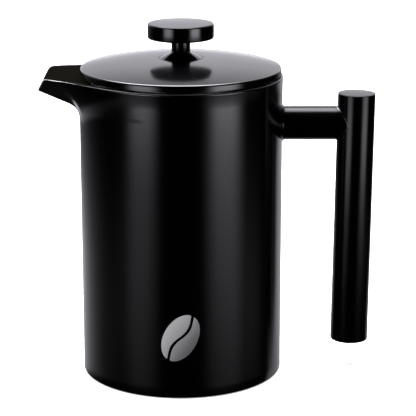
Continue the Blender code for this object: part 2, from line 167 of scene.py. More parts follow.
def bump(tree, bsdf, height, strength, distance):
    n = tree.node("ShaderNodeBump")
    n.inputs["Strength"].default_value = strength
    n.inputs["Distance"].default_value = distance
    tree.link(height, n.inputs["Height"])
    tree.link(n.outputs["Normal"], bsdf.inputs["Normal"])
    return n


def coated(name, rough, wobble, peel, tint=(0.00025, 0.00025, 0.00035), level=0.5):
    """Black coating baked on steel: faint orange peel, fine grain, uneven gloss."""
    mat, t, bsdf = new_material(name, tint, rough, 0.0)
    bsdf.inputs["IOR"].default_value = 1.5
    bsdf.inputs["Specular IOR Level"].default_value = level
    coord = t.node("ShaderNodeTexCoord").outputs["Object"]
    cloud = t.noise(coord, 55.0, 3.0, 0.55)
    grain = t.noise(coord, 2600.0, 2.0, 0.6)
    r = t.math("MULTIPLY_ADD", cloud, wobble, rough - wobble * 0.5)
    r = t.math("MULTIPLY_ADD", grain, wobble * 0.8, r)
    r = t.math("SUBTRACT", r, wobble * 0.4, clamp=True)
    t.link(r, bsdf.inputs["Roughness"])
    peel_n = t.noise(coord, 420.0, 2.0, 0.45)
    h = t.math("MULTIPLY_ADD", grain, 0.22, peel_n)
    bump(t, bsdf, h, peel, 0.00004)
    # colour: barely visible dusting in the coat
    ramp = t.node("ShaderNodeMix", data_type="RGBA")
    t.link(t.smooth(cloud, 0.35, 0.75), ramp.inputs["Factor"])
    ramp.inputs["A"].default_value = (*tint, 1.0)
    ramp.inputs["B"].default_value = (tint[0] * 1.5, tint[1] * 1.5, tint[2] * 1.45, 1.0)
    t.link(ramp.outputs["Result"], bsdf.inputs["Base Color"])
    return mat


def steel(name, colour, rough, lines="ring", depth=0.25):
    """Stainless steel with drawn lines: round the axis, along it, or none."""
    mat, t, bsdf = new_material(name, colour, rough, 1.0)
    coord = t.node("ShaderNodeTexCoord").outputs["Object"]
    if lines == "ring":
        sep = t.node("ShaderNodeSeparateXYZ")
        t.link(coord, sep.inputs[0])
        rad = t.math("SQRT", t.math("ADD", t.math("MULTIPLY", sep.outputs[0], sep.outputs[0]),
                                    t.math("MULTIPLY", sep.outputs[1], sep.outputs[1])))
        ang = t.math("ARCTAN2", sep.outputs[1], sep.outputs[0])
        comb = t.node("ShaderNodeCombineXYZ")
        t.link(t.math("MULTIPLY", rad, 2600.0), comb.inputs[0])
        t.link(t.math("MULTIPLY", sep.outputs[2], 2600.0), comb.inputs[1])
        t.link(t.math("MULTIPLY", ang, 1.6), comb.inputs[2])
        fine = t.noise(comb.outputs[0], 1.0, 3.0, 0.65)
    elif lines == "long":
        fine = t.noise(t.stretch(coord, (3000.0, 3000.0, 60.0)), 1.0, 3.0, 0.6)
    else:
        fine = t.noise(coord, 900.0, 3.0, 0.6)
    cloud = t.noise(coord, 40.0, 3.0, 0.5)
    r = t.math("MULTIPLY_ADD", fine, 0.16, rough - 0.08)
    r = t.math("MULTIPLY_ADD", cloud, 0.08, t.math("SUBTRACT", r, 0.04), clamp=True)
    t.link(r, bsdf.inputs["Roughness"])
    bump(t, bsdf, fine, depth, 0.00003)
    mix = t.node("ShaderNodeMix", data_type="RGBA")
    t.link(t.smooth(fine, 0.3, 0.7), mix.inputs["Factor"])
    mix.inputs["A"].default_value = (colour[0] * 0.86, colour[1] * 0.86, colour[2] * 0.86, 1.0)
    mix.inputs["B"].default_value = (*colour, 1.0)
    t.link(mix.outputs["Result"], bsdf.inputs["Base Color"])
    return mat


def printed(name, colour):
    """Silver ink: fine metallic flake in a pale binder, with painted shading across it."""
    mat, t, bsdf = new_material(name, colour, 0.45, 0.25)
    coord = t.node("ShaderNodeTexCoord").outputs["Object"]
    flake = t.noise(coord, 5200.0, 2.0, 0.7)
    t.link(t.math("MULTIPLY_ADD", flake, 0.24, 0.34, clamp=True), bsdf.inputs["Roughness"])
    bump(t, bsdf, flake, 0.15, 0.00002)
    sep = t.node("ShaderNodeSeparateXYZ")
    t.link(coord, sep.inputs[0])
    # painted shading on the print: light at the upper left of each half, dark at the lower right
    across = t.math("SUBTRACT", sep.outputs[0], t.math("MULTIPLY", t.math("SUBTRACT", sep.outputs[2], 0.0328), 0.7))
    painted_shade_tone = t.math("MULTIPLY_ADD", flake, 0.16, t.smooth(across, -0.013, 0.014), clamp=True)
    mix = t.node("ShaderNodeMix", data_type="RGBA")
    t.link(painted_shade_tone, mix.inputs["Factor"])
    mix.inputs["A"].default_value = (*colour, 1.0)
    mix.inputs["B"].default_value = (colour[0] * 0.22, colour[1] * 0.22, colour[2] * 0.23, 1.0)
    t.link(mix.outputs["Result"], bsdf.inputs["Base Color"])
    return mat


def soft_plastic(name, colour, rough, scale=1400.0):
    mat, t, bsdf = new_material(name, colour, rough, 0.0)
    coord = t.node("ShaderNodeTexCoord").outputs["Object"]
    n = t.noise(coord, scale, 3.0, 0.55)
    t.link(t.math("MULTIPLY_ADD", n, 0.2, rough - 0.1, clamp=True), bsdf.inputs["Roughness"])
    bump(t, bsdf, n, 0.3, 0.00004)
    mix = t.node("ShaderNodeMix", data_type="RGBA")
    t.link(t.smooth(n, 0.3, 0.7), mix.inputs["Factor"])
    mix.inputs["A"].default_value = (*colour, 1.0)
    mix.inputs["B"].default_value = (colour[0] * 1.6, colour[1] * 1.6, colour[2] * 1.6, 1.0)
    t.link(mix.outputs["Result"], bsdf.inputs["Base Color"])
    return mat


def wire_cloth(name):
    """Plain-woven stainless wire cloth, about 0.35 mm pitch."""
    mat, t, bsdf = new_material(name, (0.5, 0.5, 0.5), 0.32, 1.0)
    coord = t.node("ShaderNodeTexCoord").outputs["Object"]
    sep = t.node("ShaderNodeSeparateXYZ")
    t.link(coord, sep.inputs[0])
    k = TAU / 0.0007
    a = t.math("MULTIPLY", sep.outputs[0], k)
    b = t.math("MULTIPLY", sep.outputs[1], k)
    sa, sb = t.math("ABSOLUTE", t.math("SINE", a)), t.math("ABSOLUTE", t.math("SINE", b))
    ca, cb = t.math("COSINE", a), t.math("COSINE", b)
    warp = t.math("MULTIPLY_ADD", t.math("MULTIPLY", ca, cb), 0.35, sa)
    weft = t.math("MULTIPLY_ADD", t.math("MULTIPLY", ca, cb), -0.35, sb)
    h = t.math("MAXIMUM", warp, weft)
    bump(t, bsdf, h, 0.9, 0.00012)
    # painted shade: near black where the weave dips and opens, light on the wire tops, standing in for the openings
    # and dips
    mix = t.node("ShaderNodeMix", data_type="RGBA")
    t.link(t.smooth(h, 0.45, 0.95), mix.inputs["Factor"])
    mix.inputs["A"].default_value = (0.035, 0.035, 0.035, 1.0)
    mix.inputs["B"].default_value = (0.60, 0.60, 0.60, 1.0)
    t.link(mix.outputs["Result"], bsdf.inputs["Base Color"])
    return mat


M_BODY = coated("coat_body", 0.15, 0.020, 0.05)
M_LID = coated("coat_lid", 0.16, 0.020, 0.04)
M_ARM = coated("coat_arm", 0.19, 0.020, 0.04, level=0.28)
M_GRIP = coated("coat_handle", 0.19, 0.020, 0.04, level=0.27)
M_BEAK = coated("coat_beak_inside", 0.50, 0.030, 0.05, (0.0022, 0.0019, 0.0011), 0.010)
M_KNOB = coated("coat_knob", 0.14, 0.020, 0.03)
M_HUB = coated("coat_hub", 0.16, 0.020, 0.03)
# painted highlight: bare-steel colour on the arm's bead, for the bright line where the arm meets the grip
M_BEAD_HIGHLIGHT = steel("steel_bead_highlight", (0.26, 0.26, 0.26), 0.24, "none", 0.1)
# painted highlight: darkish bare steel on the lid's crest and lower edge and on the rim's shoulder, for highlight
# lines on the black coat
M_HIGHLIGHT_STEEL = steel("steel_highlight_edge", (0.20, 0.20, 0.20), 0.22, "none", 0.1)
M_EDGE = steel("steel_bare_edge", (0.90, 0.89, 0.87), 0.26, "none", 0.1)
M_INSIDE = steel("steel_vessel_inside", (0.60, 0.595, 0.575), 0.26, "ring", 0.25)
M_STEEL = steel("steel_pressed", (0.64, 0.64, 0.635), 0.27, "ring", 0.25)
M_ROD = steel("steel_rod", (0.72, 0.72, 0.715), 0.14, "long", 0.12)
M_WIRE = steel("steel_wire", (0.70, 0.70, 0.69), 0.2, "none", 0.1)
M_BASE = steel("steel_base", (0.60, 0.60, 0.595), 0.30, "ring", 0.3)
M_PRINT = printed("emblem_silver", (0.95, 0.95, 0.96))
M_CLOTH = wire_cloth("steel_wire_cloth")
M_SEAL = soft_plastic("silicone_black", (0.016, 0.016, 0.017), 0.55)
M_BUSH = soft_plastic("nylon_black", (0.022, 0.022, 0.022), 0.45)


# ------------------------------------------------------------------ mesh helpers
def make(name, verts, faces, mats, body, nodes=(), sharp=38.0, mat_of=None, recalc=True):
    """Mesh in millimetres -> object in metres that rides on a body."""
    mesh = bpy.data.meshes.new(name)
    mesh.from_pydata([tuple(float(c) * MM for c in v) for v in verts], [], [tuple(map(int, f)) for f in faces])
    mesh.validate()
    for m in (mats if isinstance(mats, (list, tuple)) else [mats]):
        mesh.materials.append(m)
    if mat_of is not None:
        for p, m in zip(mesh.polygons, mat_of):
            p.material_index = int(m)
    if recalc:
        bm = bmesh.new()
        bm.from_mesh(mesh)
        bmesh.ops.recalc_face_normals(bm, faces=bm.faces[:])
        bm.to_mesh(mesh)
        bm.free()
    mesh.shade_smooth()
    mesh.set_sharp_from_angle(angle=math.radians(sharp))
    obj = bpy.data.objects.new(name, mesh)
    scene.collection.objects.link(obj)
    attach(obj, body)
    if nodes:
        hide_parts(*nodes)
    return obj


def rounded(points, n=6):
    """Profile with its corners rounded: points are (r, z) or (r, z, radius)."""
    pts = [(p[0], p[1], p[2] if len(p) > 2 else 0.0) for p in points]
    out = []
    for i, (r, z, rad) in enumerate(pts):
        if rad <= 0.0 or i == 0 or i == len(pts) - 1:
            out.append((r, z))
            continue
        p = Vector((r, z))
        a = Vector(pts[i - 1][:2]) - p
        b = Vector(pts[i + 1][:2]) - p
        la, lb = a.length, b.length
        a.normalize()
        b.normalize()
        ang = a.angle(b)
        d = min(rad / math.tan(ang / 2.0), la * 0.49, lb * 0.49)
        rr = d * math.tan(ang / 2.0)
        c = p + (a + b).normalized() * (rr / math.sin(ang / 2.0))
        s, e = p + a * d, p + b * d
        a0 = math.atan2(s.y - c.y, s.x - c.x)
        a1 = math.atan2(e.y - c.y, e.x - c.x)
        da = (a1 - a0 + math.pi) % TAU - math.pi
        for k in range(n + 1):
            t = a0 + da * k / n
            out.append((c.x + rr * math.cos(t), c.y + rr * math.sin(t)))
    return out


def turned(name, profile, mats, body, nodes=(), seg=160, closed=True, matrix=None,
           sharp=38.0, mat_of=None):
    """Solid of revolution.  closed: ring profile; open: from axis to axis."""
    verts, faces, rows, fm = [], [], [], []
    for r, z in profile:
        if r < 1e-6:
            rows.append([len(verts)])
            verts.append(Vector((0.0, 0.0, z)))
        else:
            rows.append(list(range(len(verts), len(verts) + seg)))
            for i in range(seg):
                a = TAU * i / seg
                verts.append(Vector((r * math.cos(a), r * math.sin(a), z)))
    pairs = list(zip(range(len(rows) - 1), range(1, len(rows))))
    if closed:
        pairs.append((len(rows) - 1, 0))
    for q, (u, v) in enumerate(pairs):
        A, B = rows[u], rows[v]
        for i in range(seg):
            j = (i + 1) % seg
            if len(A) == 1 and len(B) == 1:
                continue
            if len(A) == 1:
                f = (A[0], B[j], B[i])
            elif len(B) == 1:
                f = (A[i], A[j], B[0])
            else:
                f = (A[i], A[j], B[j], B[i])
            faces.append(f)
            fm.append(mat_of(q) if mat_of else 0)
    if matrix is not None:
        verts = [matrix @ v for v in verts]
    return make(name, verts, faces, mats, body, nodes, sharp, fm)


def grid_mesh(P, close_u, close_v):
    """Vertices and quads of an nu x nv grid of points."""
    nu, nv = P.shape[:2]
    verts = P.reshape(-1, 3)
    faces = []
    for i in range(nu if close_u else nu - 1):
        i2 = (i + 1) % nu
        for k in range(nv if close_v else nv - 1):
            k2 = (k + 1) % nv
            faces.append((i * nv + k, i2 * nv + k, i2 * nv + k2, i * nv + k2))
    return verts, faces


# ------------------------------------------------------------------ vessel: shell, beak, rim and inside
_n = (TIP - LIP).cross(KEEL - LIP).normalized()
if _n.z > 0:
    _n = -_n
BN = np.array(_n)
BC = float(_n.dot(LIP))
ROOT_LIFT = -(float(_n.dot(ROOT)) - BC)


def beak_side(x, y, z):
    ay = np.sqrt(y * y + 1.0) - 1.0 + 0.5 * np.exp(-y * y)
    u = np.maximum(0.0, (x - LIP.x) / (ROOT.x - LIP.x))
    v = np.maximum(0.0, (z - KEEL.z) / (RIM_Z - KEEL.z))
    return BN[0] * x + BN[1] * ay + BN[2] * z - BC + ROOT_LIFT * u * u * v


def skin(x, y, z, inset, base_r):
    body = np.hypot(x, y) - base_r
    beak = beak_side(x, y, z) + inset
    f = np.clip((np.abs(y) - 3.0) / 15.0, 0.0, 1.0)
    k = BEAK_BLEND + 6.5 * f * f * (3 - 2 * f)      # tight underneath, wide at the sides
    h = np.maximum(k - np.abs(body - beak), 0.0) / k
    both = np.minimum(body, beak) - h * h * k * 0.25
    return np.where(x > -20.0, body, both)


def skin_radius(theta, z, inset, base_r):
    theta, z, base_r = np.broadcast_arrays(theta, z, base_r)
    cx, sy = -np.cos(theta), np.sin(theta)
    lo = np.full(theta.shape, 40.0)
    hi = np.full(theta.shape, 95.0)
    for _ in range(44):
        mid = 0.5 * (lo + hi)
        inside = skin(cx * mid, sy * mid, z, inset, base_r) < 0.0
        lo = np.where(inside, mid, lo)
        hi = np.where(inside, hi, mid)
    return 0.5 * (lo + hi)


def soft_min(a, b, k):
    h = np.maximum(k - np.abs(a - b), 0.0) / k
    return np.minimum(a, b) - h * h * k * 0.25


def shell_r(z):
    f = np.clip((z - (RIM_Z - FLARE_H)) / FLARE_H, 0.0, 1.0)
    return SHELL_R + RIM_FLARE * f * f


FRONT = (LIP.x - TIP.x) / (LIP.z - TIP.z)
LIP_T = math.atan2(LIP.y, -LIP.x)
ROOT_T = math.atan2(ROOT.y, -ROOT.x)


def lip_z(theta, inset, base_r):
    """Height where the skin meets the slanting front plane or the level top edge."""
    a = np.abs(theta)
    lo = np.full(a.shape, 143.0)
    hi = np.full(a.shape, 175.0)
    for _ in range(40):
        mid = 0.5 * (lo + hi)
        r = skin_radius(a, mid, inset, base_r)
        out = r * np.cos(a) - (-LIP.x - (mid - LIP.z) * FRONT) > 0.0
        hi = np.where(out, mid, hi)
        lo = np.where(out, lo, mid)
    front = 0.5 * (lo + hi)
    f = np.clip((a - LIP_T) / (ROOT_T - LIP_T), 0.0, 1.0)
    edge = LIP.z + (RIM_Z - LIP.z) * f * f * (3 - 2 * f)
    return np.where(a > math.radians(26.0), edge, soft_min(front, edge, 0.9))


def theta_columns():
    t = list(np.arange(-20.0, 20.01, 0.5))
    t += list(np.arange(21.0, 45.01, 1.0)) + list(-np.arange(21.0, 45.01, 1.0))
    rest = np.linspace(45.0, 315.0, 136)[1:-1]
    t += [v if v <= 180 else v - 360 for v in rest]
    t = np.array(sorted(set(round(float(v), 6) for v in t)))
    return np.radians(t)


T = theta_columns()
NT = len(T)
WALL_IN = 1.05                     # beak's two sheets together


def place(theta, r, z):
    return np.stack([-np.cos(theta) * r, np.sin(theta) * r, z], axis=-1)


rows = []
row_mat = []                       # material of the strip that starts at this row
# underside and bottom corner
rows.append((T, np.full(NT, 51.35), np.full(NT, 0.45)))
for k in range(1, 5):
    a = math.pi / 2 * k / 4
    rows.append((T, np.full(NT, 51.7 + 0.8 * math.sin(a)), np.full(NT, 1.15 - 0.8 * math.cos(a))))
for z in (6.0, 25.0, 50.0, 75.0, 100.0, 118.0, 126.0):
    rows.append((T, np.full(NT, SHELL_R), np.full(NT, z)))
top_out = lip_z(T, 0.0, shell_r(np.full(NT, RIM_Z)))
top_in = lip_z(T, WALL_IN, VESSEL_R)
beak = np.clip((math.radians(40.0) - np.abs(T)) / math.radians(10.0), 0.0, 1.0)
beak = beak * beak * (3 - 2 * beak)         # 1 in the beak, 0 round the rim
# outer wall up to just under the edge
EDGE_R = 0.28
ER = EDGE_R + 0.20 + 0.35 * (1.0 - beak)  # the rim has a fuller shoulder than the beak
low = 130.0
for k in range(0, 43):
    f = k / 42.0
    z = low + (top_out - ER - low) * (1 - (1 - f) ** 1.25)
    rows.append((T, skin_radius(T, z, 0.0, shell_r(z)), z))
n_outer = len(rows)
# rounded outer corner, edge face, rounded inner corner
p_out = place(T, skin_radius(T, top_out, 0.0, shell_r(top_out)), top_out)
p_in = place(T, skin_radius(T, top_in, WALL_IN, VESSEL_R), top_in)
last = place(*rows[-1])
cross = p_in - p_out
width = np.linalg.norm(cross, axis=1, keepdims=True)
unit = cross / width
points = [place(*r) for r in rows]
up = (p_out - last)
for k in range(1, 5):
    a = math.pi / 2 * k / 4
    points.append(last + up * math.sin(a) + unit * ER[:, None] * (1 - math.cos(a)))
n_edge0 = len(points) - 1
start = p_out + unit * ER[:, None]
face = p_in - unit * EDGE_R - start
span = np.linalg.norm(face, axis=1, keepdims=True)
taper = np.clip((math.radians(29.0) - np.abs(T)) / math.radians(8.0), 0.06, 1.0)[:, None]
line = np.minimum(0.62 * taper / np.maximum(span, 1e-6), 0.9)      # bare line, running out at the root
for f in (0.0, 1.0 / 3.0, 2.0 / 3.0):
    points.append(start + face * (line + (1.0 - line) * f))
below_z = top_in - 0.35
below = place(T, skin_radius(T, below_z, WALL_IN, VESSEL_R), below_z)
down = below - p_in
for k in range(0, 5):
    a = math.pi / 2 * k / 4
    points.append(p_in - unit * EDGE_R * (1 - math.sin(a)) + down * (1 - math.cos(a)))
n_edge1 = len(points) - 1
# inside of beak and vessel
for k in range(1, 40):
    f = k / 39.0
    z = below_z + (low - below_z) * (f ** 1.2)
    points.append(place(T, skin_radius(T, z, WALL_IN, VESSEL_R), z))
for z in (118.0, 100.0, 75.0, 50.0, 25.0, 14.0):
    points.append(place(T, np.full(NT, VESSEL_R), np.full(NT, z)))
for k in range(0, 9):
    a = math.pi / 2 * k / 8
    points.append(place(T, np.full(NT, VESSEL_R - 4.0 + 4.0 * math.cos(a)),
                        np.full(NT, FLOOR_Z + 4.0 - 4.0 * math.sin(a))))
for r in (34.0, 22.0, 11.0, 4.0):
    points.append(place(T, np.full(NT, r), np.full(NT, FLOOR_Z)))
P = np.stack(points, axis=1)       # columns x rows
verts, faces = grid_mesh(P, True, False)
nv = P.shape[1]
mat_of = []
for f in faces:
    k = f[0] % nv
    if k < n_edge1:
        near_beak = abs(T[f[0] // nv]) < math.radians(36.0)
        if near_beak:
            bare = abs(T[f[0] // nv])
            first = n_edge0 - 3 if bare < math.radians(22.0) else n_edge0
            mat_of.append(0 if k < first else (1 if k < n_edge0 + 1 and bare < math.radians(29.0) else 3))
        else:
            # painted highlight: the shoulder strip between 50 and 130 degrees round the rim takes the highlight
            # steel
            mat_of.append(1 if k >= n_edge0 + 3 else (4 if k == n_edge0 - 4 and 50.0 < math.degrees(abs(T[f[0] // nv])) < 130.0 else 0))
        continue
    c = verts[list(f)].mean(axis=0)
    in_beak = c[0] < -20.0 and math.hypot(c[0], c[1]) > VESSEL_R + 0.45
    mat_of.append(3 if in_beak else 2)
verts = list(map(tuple, verts))
c_in = len(verts)
verts.append((0.0, 0.0, FLOOR_Z))
c_out = len(verts)
verts.append((0.0, 0.0, 2.6))
ring2 = []
for i in range(NT):
    ring2.append(len(verts))
    verts.append((-49.0 * math.cos(T[i]), 49.0 * math.sin(T[i]), 2.6))
for i in range(NT):
    j = (i + 1) % NT
    faces.append((i * nv + nv - 1, j * nv + nv - 1, c_in))
    mat_of.append(2)
    faces.append((j * nv, i * nv, ring2[i], ring2[j]))
    mat_of.append(0)
    faces.append((ring2[j], ring2[i], c_out))
    mat_of.append(0)
vessel = make("vessel_double_wall", verts, faces, [M_BODY, M_EDGE, M_INSIDE, M_BEAK, M_HIGHLIGHT_STEEL], "carafe",
              ("outer_shell", "spout", "inner_vessel", "rim_ring"), 40.0, mat_of)

# base plate with a shallow raised field
turned("base_disc", rounded([(0, 0.0), (44.0, 0.0), (44.8, 0.35, 0.5), (46.2, 0.35, 0.5), (47.0, 0.0),
                             (50.6, 0.0, 0.5), (51.15, 0.7, 0.4), (51.15, 2.0, 0.2), (50.0, 2.0),
                             (49.2, 1.3), (0, 1.3)]),
       M_BASE, "carafe", ("base_plate",), closed=False)

# ------------------------------------------------------------------ handle
lean = math.atan2(GRIP_TOP[0] - GRIP_BOT[0], GRIP_TOP[1] - GRIP_BOT[1])
half = 0.5 * math.hypot(GRIP_TOP[0] - GRIP_BOT[0], GRIP_TOP[1] - GRIP_BOT[1])
GM = Matrix.Translation(Vector(((GRIP_TOP[0] + GRIP_BOT[0]) / 2, 0, (GRIP_TOP[1] + GRIP_BOT[1]) / 2))) \
    @ Matrix.Rotation(lean, 4, "Y")
CAP_R = 8.95
turned("grip_tube", rounded([(CAP_R + 0.07, -half + 0.06), (GRIP_R + 0.2, -half, 0.75), (GRIP_R, half, 0.42),
                             (CAP_R + 0.07, half, 0.12), (CAP_R + 0.07, half - 5.0), (8.2, half - 5.2),
                             (8.2, -half + 5.2), (CAP_R + 0.07, -half + 5.0)]),
       M_GRIP, "carafe", ("handle_grip",), seg=128, matrix=GM)
turned("grip_cap_top", rounded([(0, half + 0.22), (3.0, half + 0.19), (6.0, half + 0.11), (CAP_R, half - 0.02, 0.14), (CAP_R, half - 4.6, 0.3), (0, half - 4.6)]),
       M_GRIP, "carafe", ("grip_top_cap",), seg=128, closed=False, matrix=GM)
turned("grip_cap_bottom", rounded([(0, -half + 4.6), (CAP_R, -half + 4.6, 0.3), (CAP_R, -half + 0.08, 0.14), (0, -half + 0.08)]),
       M_GRIP, "carafe", ("grip_bottom_cap",), seg=128, closed=False, matrix=GM)


def grip_x(z):
    return GRIP_TOP[0] - (GRIP_TOP[1] - z) * math.tan(lean)


def arm_end(y, z):
    """x of the grip tube's near side, at a point of the arm's wall."""
    return grip_x(z) - math.sqrt(max(0.0, (GRIP_R + 0.03) ** 2 - y * y)) / math.cos(lean)


def arm_start(y):
    return math.sqrt((SHELL_R + 0.03) ** 2 - y * y)


NA = 128
COLLAR = 2.1
FIL = 1.5
SADDLE = 0.85
BEAD = 0.20
BEAD_W = 0.70
loops = []
for i in range(NA):
    a = TAU * i / NA
    c, s = math.cos(a), math.sin(a)
    line = []
    # weld collar: concave sweep from the shell to the arm
    for k in range(9):
        t = math.pi / 2 * k / 8
        off = FIL * (1 - math.sin(t))
        along = FIL * (1 - math.cos(t))
        r = ARM_R + off
        line.append((arm_start(r * c) + along, r * c, ARM_Z + r * s))
    line.append((arm_start(ARM_R * c) + COLLAR, ARM_R * c, ARM_Z + ARM_R * s))
    r = ARM_R - 0.03
    line.append((arm_start(ARM_R * c) + COLLAR + 0.03, r * c, ARM_Z + r * s))
    r = 7.3
    line.append((arm_start(ARM_R * c) + COLLAR + 0.1, r * c, ARM_Z + r * s))
    line.append((arm_start(r * c), r * c, ARM_Z + r * s))
    loops.append(line)
v, f = grid_mesh(np.array(loops), True, True)
make("arm_weld_collar", v, f, M_ARM, "carafe", ("arm_collar",))

loops = []
for i in range(NA):
    a = TAU * i / NA
    c, s = math.cos(a), math.sin(a)
    line = []
    x0 = arm_start(ARM_R * c) + COLLAR + 0.05
    r = ARM_R - 0.03
    line.append((x0, r * c, ARM_Z + r * s))
    line.append((x0 + 0.03, ARM_R * c, ARM_Z + ARM_R * s))
    x1 = arm_end(ARM_R * c, ARM_Z + ARM_R * s)
    for k in range(1, 8):
        t = k / 8
        line.append((x0 + 0.1 + (x1 - SADDLE - x0 - 0.1) * t, ARM_R * c, ARM_Z + ARM_R * s))
    # narrow bead where the tube meets the grip; its bare-steel colour makes a painted highlight line
    for k in range(9):
        t = math.pi * k / 8
        r = ARM_R + BEAD * math.sin(t)
        along = SADDLE - 0.5 * BEAD_W * (1 - math.cos(t))
        line.append((arm_end(ARM_R * c, ARM_Z + ARM_R * s) - along, r * c, ARM_Z + r * s))
    r = 7.3
    line.append((arm_end(r * c, ARM_Z + r * s), r * c, ARM_Z + r * s))
    line.append((x0, r * c, ARM_Z + r * s))
    loops.append(line)
v, f = grid_mesh(np.array(loops), True, True)
make("arm_tube", v, f, [M_ARM, M_BEAD_HIGHLIGHT], "carafe", ("handle_arm",),
     mat_of=[1 if 10 <= q[0] % len(loops[0]) <= 14 else 0 for q in f])

# ------------------------------------------------------------------ lid
def dome(r):
    return LID_EDGE_Z + 0.1 + (LID_TOP_Z - LID_EDGE_Z - 0.1) * (1.0 - (r / (LID_R - 1.0)) ** 2.8)


top = [(r, dome(r)) for r in np.linspace(HUB_R0 + 0.12, 50.2, 26)]
profile = rounded([(HUB_R0 + 0.12, dome(HUB_R0) - 1.0)] + [(r, z) for r, z in top]
                  + [(LID_R - 0.02, LID_EDGE_Z - 0.15, 0.95), (LID_R, LID_Z0 + 0.18), (LID_R - 0.2, LID_Z0),
                     (LID_R - 1.0, LID_Z0, 0.1), (LID_R - 1.0, LID_EDGE_Z - 1.2, 0.6)]
                  + [(r, dome(r) - 1.0) for r in np.linspace(49.6, HUB_R0 + 3.0, 12)])
edge_i = min(range(len(profile)), key=lambda i: abs(profile[i][0] - (LID_R - 0.2)) + abs(profile[i][1] - LID_Z0))
crest = [i for i in range(len(profile)) if profile[i][0] > LID_R - 1.2 and profile[i][1] > LID_EDGE_Z - 0.6]
crest = crest[0:2] if len(crest) > 4 else crest[:1]
# painted highlight: the lid's crest and its lower edge take the highlight steel
turned("lid_dome", profile, [M_LID, M_EDGE, M_HIGHLIGHT_STEEL], "lid", ("lid_cover",), seg=256,
       mat_of=lambda q: 2 if edge_i - 1 <= q <= edge_i or q in crest else 0)

# hub: turned cone that carries the rod's bush, with its spigot through the liner
turned("lid_hub_cone", rounded([(3.95, 155.0), (5.4, 155.0, 0.3), (5.4, 163.9), (HUB_R0, 163.9), (HUB_R0, HUB_Z0 - 0.02, 0.25),
                                (HUB_R0 - 1.2, HUB_Z0 + 0.45, 1.0), (HUB_R1 + 0.35, HUB_Z1 - 0.35, 0.5),
                                (HUB_R1 + 0.1, HUB_Z1, 0.15), (3.95, HUB_Z1, 0.15)]),
       M_HUB, "lid", ("lid_hub",), seg=128)
turned("rod_bush_sleeve", rounded([(2.58, 155.2, 0.2), (3.6, 155.2, 0.2), (3.6, HUB_Z1 - 0.2, 0.2), (2.58, HUB_Z1 - 0.2, 0.2), (2.58, 160.0)]),
       M_BUSH, "lid", ("rod_bush",), seg=64)


def hexagon(name, flats, z0, z1, bore, mat, body, nodes):
    """Hexagonal nut with chamfered corners."""
    corner = flats / math.sqrt(3.0)
    seg = 96
    loops = []
    for i in range(seg):
        a = TAU * i / seg
        side = (a % (math.pi / 3)) - math.pi / 6
        rf = min((flats / 2) / math.cos(side), corner * 0.985)
        rc = flats / 2 * 0.965
        c, s = math.cos(a), math.sin(a)
        drop = max(0.0, rf - rc) * 0.5
        line = [(bore + 0.25, z0), (rc, z0), (rf, z0 + drop), (rf, z1 - drop), (rc, z1), (bore + 0.25, z1),
                (bore, z1 - 0.25), (bore, z0 + 0.25)]
        loops.append([(r * c, r * s, z) for r, z in line])
    v, f = grid_mesh(np.array(loops), True, True)
    return make(name, v, f, mat, body, nodes, 20.0)


hexagon("lid_lock_nut", 15.0, 155.3, 158.5, 5.5, M_STEEL, "lid", ("bush_nut",))

# liner: plate and a skirt pierced by pouring slots on the beak's side and round it
SK_R, SK_T, SK_Z0, SK_Z1 = 44.7, 0.8, 147.0, 158.85
NS = 240
skirt_v, skirt_f = [], []
slot_rows = [SK_Z0, SK_Z0 + 0.35, 148.6, 149.4, 151.2, 153.2, 155.0, 155.8, 157.4, SK_Z1]


def slot_here(i, k):
    """One cell in three is open, in two ranks, over the pouring sectors."""
    ang = (360.0 * (i + 0.5) / NS) % 360.0
    sector = abs(((ang - 180.0 + 180.0) % 360.0) - 180.0) < 52.0 or \
        abs(((ang + 180.0) % 360.0) - 180.0) < 22.0
    return sector and i % 3 == 1 and k in (3, 4, 5, 6)


idx = {}


def vid(i, k, side):
    key = (i % NS, k, side)
    if key not in idx:
        a = TAU * (i % NS) / NS
        r = SK_R - (SK_T if side else 0.0)
        idx[key] = len(skirt_v)
        skirt_v.append((r * math.cos(a), r * math.sin(a), slot_rows[k]))
    return idx[key]


nk = len(slot_rows) - 1
for i in range(NS):
    for k in range(nk):
        if slot_here(i, k):
            continue
        skirt_f.append((vid(i, k, 0), vid(i + 1, k, 0), vid(i + 1, k + 1, 0), vid(i, k + 1, 0)))
        skirt_f.append((vid(i, k, 1), vid(i, k + 1, 1), vid(i + 1, k + 1, 1), vid(i + 1, k, 1)))
        for (di, dk, e) in ((-1, 0, ((0, 0), (0, 1))), (1, 0, ((1, 1), (1, 0))),
                            (0, -1, ((1, 0), (0, 0))), (0, 1, ((0, 1), (1, 1)))):
            kk = k + dk
            gone = (kk < 0) or (kk < nk and slot_here((i + di) % NS, kk))
            if kk >= nk:
                continue
            if gone:
                (a0, b0), (a1, b1) = e
                skirt_f.append((vid(i + a0, k + b0, 0), vid(i + a0, k + b0, 1),
                                vid(i + a1, k + b1, 1), vid(i + a1, k + b1, 0)))
# plate on top of the skirt, one piece with it
plate = [(0, 0)]
outer_top = [vid(i, nk, 0) for i in range(NS)]
inner_top = [vid(i, nk, 1) for i in range(NS)]


def ring(r, z):
    start = len(skirt_v)
    for i in range(NS):
        a = TAU * i / NS
        skirt_v.append((r * math.cos(a), r * math.sin(a), z))
    return list(range(start, start + NS))


